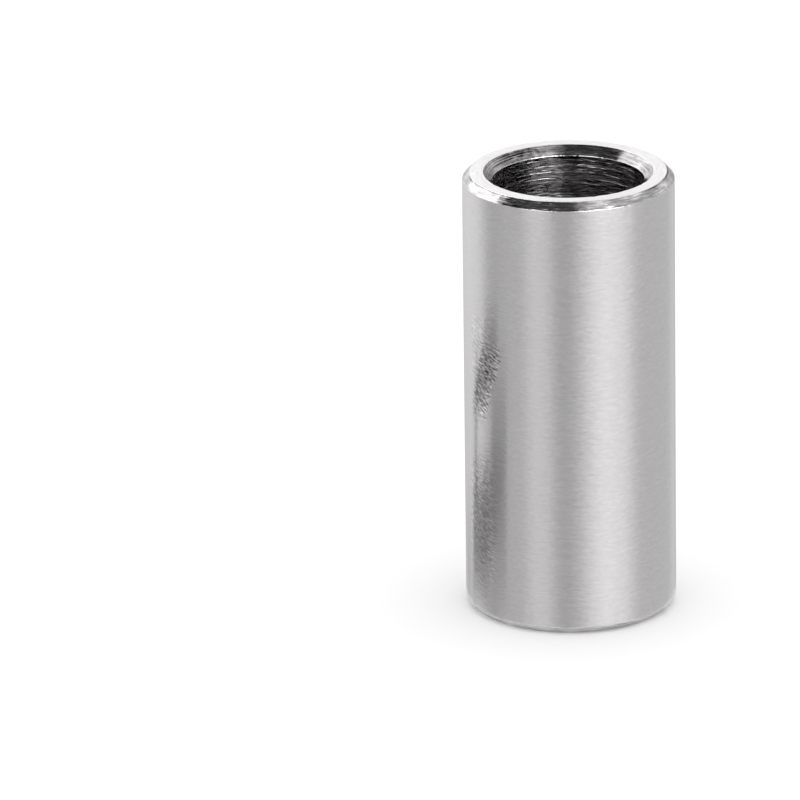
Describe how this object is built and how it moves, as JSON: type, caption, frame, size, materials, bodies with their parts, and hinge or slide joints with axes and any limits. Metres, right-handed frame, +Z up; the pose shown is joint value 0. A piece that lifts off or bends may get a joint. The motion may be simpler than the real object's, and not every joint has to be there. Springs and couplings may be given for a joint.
{
  "type": "bushing",
  "caption": "Plain cylindrical steel bushing: a ground sleeve with a round through bore and chamfered ends, for a shaft to run in.",
  "frame": {"origin": "centre of the lower end face, on the bore's axis", "axes": "+Z up along the bore's axis, towards the upper end face; X and Y are any two directions square to it, because the part is round"},
  "size_m": [0.014, 0.014, 0.03],
  "materials": {
    "ground_steel": "bare stainless steel: satin ground outside, bright turned end faces and chamfers, tool marks around the bore"
  },
  "bodies": {
    "root": {"bushing": "ground_steel"}
  },
  "joints": []
}
